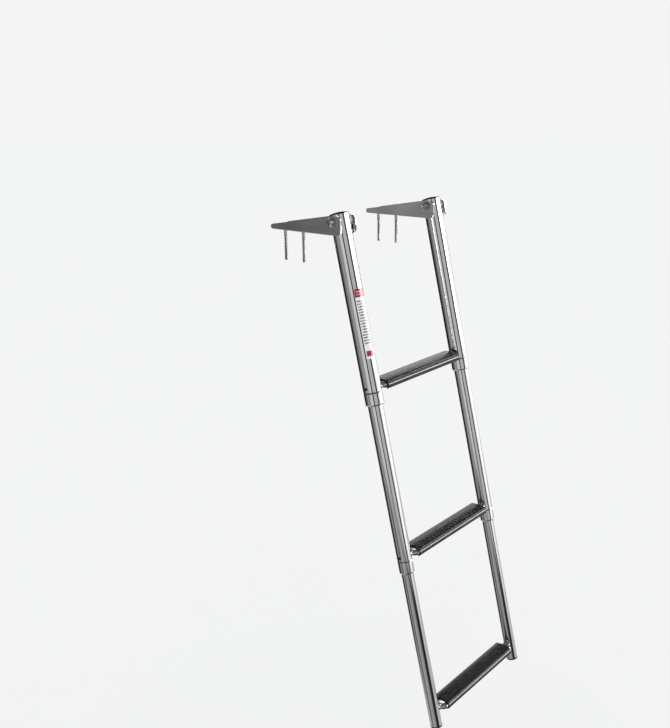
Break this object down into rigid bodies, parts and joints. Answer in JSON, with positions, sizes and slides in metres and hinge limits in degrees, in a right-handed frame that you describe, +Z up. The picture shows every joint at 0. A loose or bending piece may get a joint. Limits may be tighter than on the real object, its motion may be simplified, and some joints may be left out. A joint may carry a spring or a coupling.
{
  "type": "boat boarding ladder",
  "caption": "Telescoping stainless boarding ladder that hinges over a swim platform, with ribbed plastic treads on rod loops.",
  "frame": {"origin": "centre of the four deck bolts, on the deck surface under the hinge brackets", "axes": "+Z up, +X along the steps towards the right-hand rail, +Y inboard over the deck; the climber's side is -Y"},
  "size_m": [0.3144, 0.3573, 0.8881],
  "materials": {
    "polished_steel": "mirror-polished stainless tube and rod, with faint drawing lines along it",
    "satin_steel": "stamped stainless sheet, dull polished",
    "bolt_steel": "bright stainless fasteners",
    "black_plastic": "moulded black plastic, fine grain",
    "tread_plastic": "ribbed black plastic with a slight sheen",
    "white_nylon": "natural nylon",
    "weld_metal": "welded and brushed stainless",
    "label_film": "printed film, plain bands and ruled lines with no lettering"
  },
  "bodies": {
    "brackets": {"left_hinge_bracket": "satin_steel", "right_hinge_bracket": "satin_steel", "deck_bolts": "bolt_steel", "pivot_bolts": "bolt_steel", "pivot_nuts": "bolt_steel", "pivot_washers": "bolt_steel", "thrust_washers": "white_nylon"},
    "upper_section": {"upper_rail_left": "polished_steel", "upper_rail_right": "polished_steel", "pivot_sleeves": "bolt_steel", "top_cap_left": "black_plastic", "top_cap_right": "black_plastic", "upper_collar_left": "polished_steel", "upper_collar_right": "polished_steel", "upper_bush_left": "black_plastic", "upper_bush_right": "black_plastic", "upper_step_rod": "polished_steel", "upper_tread": "tread_plastic", "upper_welds": "weld_metal", "rail_label": "label_film"},
    "middle_section": {"middle_rail_left": "polished_steel", "middle_rail_right": "polished_steel", "middle_stop_left": "bolt_steel", "middle_stop_right": "bolt_steel", "middle_collar_left": "polished_steel", "middle_collar_right": "polished_steel", "middle_bush_left": "black_plastic", "middle_bush_right": "black_plastic", "middle_step_rod": "polished_steel", "middle_tread": "tread_plastic", "middle_welds": "weld_metal"},
    "lower_section": {"lower_rail_left": "polished_steel", "lower_rail_right": "polished_steel", "lower_stop_left": "bolt_steel", "lower_stop_right": "bolt_steel", "lower_step_rod": "polished_steel", "lower_tread": "tread_plastic", "lower_welds": "weld_metal", "foot_plug_left": "black_plastic", "foot_plug_right": "black_plastic"}
  },
  "joints": [
    {"name": "fold", "type": "hinge", "parent": "brackets", "child": "upper_section", "pos_m": [0, -0.103, 0.022], "axis": [-1, 0, 0], "range_deg": [0, 256.5]},
    {"name": "middle_slide", "type": "slide", "parent": "upper_section", "child": "middle_section", "axis": [0, 0.2334, 0.9724], "range_m": [0, 0.258]},
    {"name": "lower_slide", "type": "slide", "parent": "middle_section", "child": "lower_section", "axis": [0, 0.2334, 0.9724], "range_m": [0, 0.246]}
  ]
}
